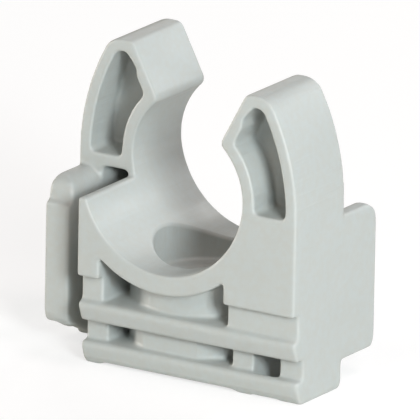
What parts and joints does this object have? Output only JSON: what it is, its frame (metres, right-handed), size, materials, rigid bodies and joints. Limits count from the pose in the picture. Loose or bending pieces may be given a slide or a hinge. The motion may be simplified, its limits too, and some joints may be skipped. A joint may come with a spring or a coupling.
{
  "type": "conduit clip",
  "caption": "Snap-in conduit clip with two offset gripping arms, a round cradle over a screw boss, and side tongues that couple clips in a row.",
  "frame": {"origin": "on the screw axis, at the plane of the foot that lies on the wall", "axes": "+Z out of the wall towards the mouth between the arms, +Y along the conduit towards the back half, +X to the right along the front face"},
  "size_m": [0.0338, 0.02, 0.034],
  "materials": {
    "light_grey_plastic": "light grey moulded plastic with a fine satin surface"
  },
  "bodies": {
    "root": {"conduit_clip": "light_grey_plastic"}
  },
  "joints": []
}
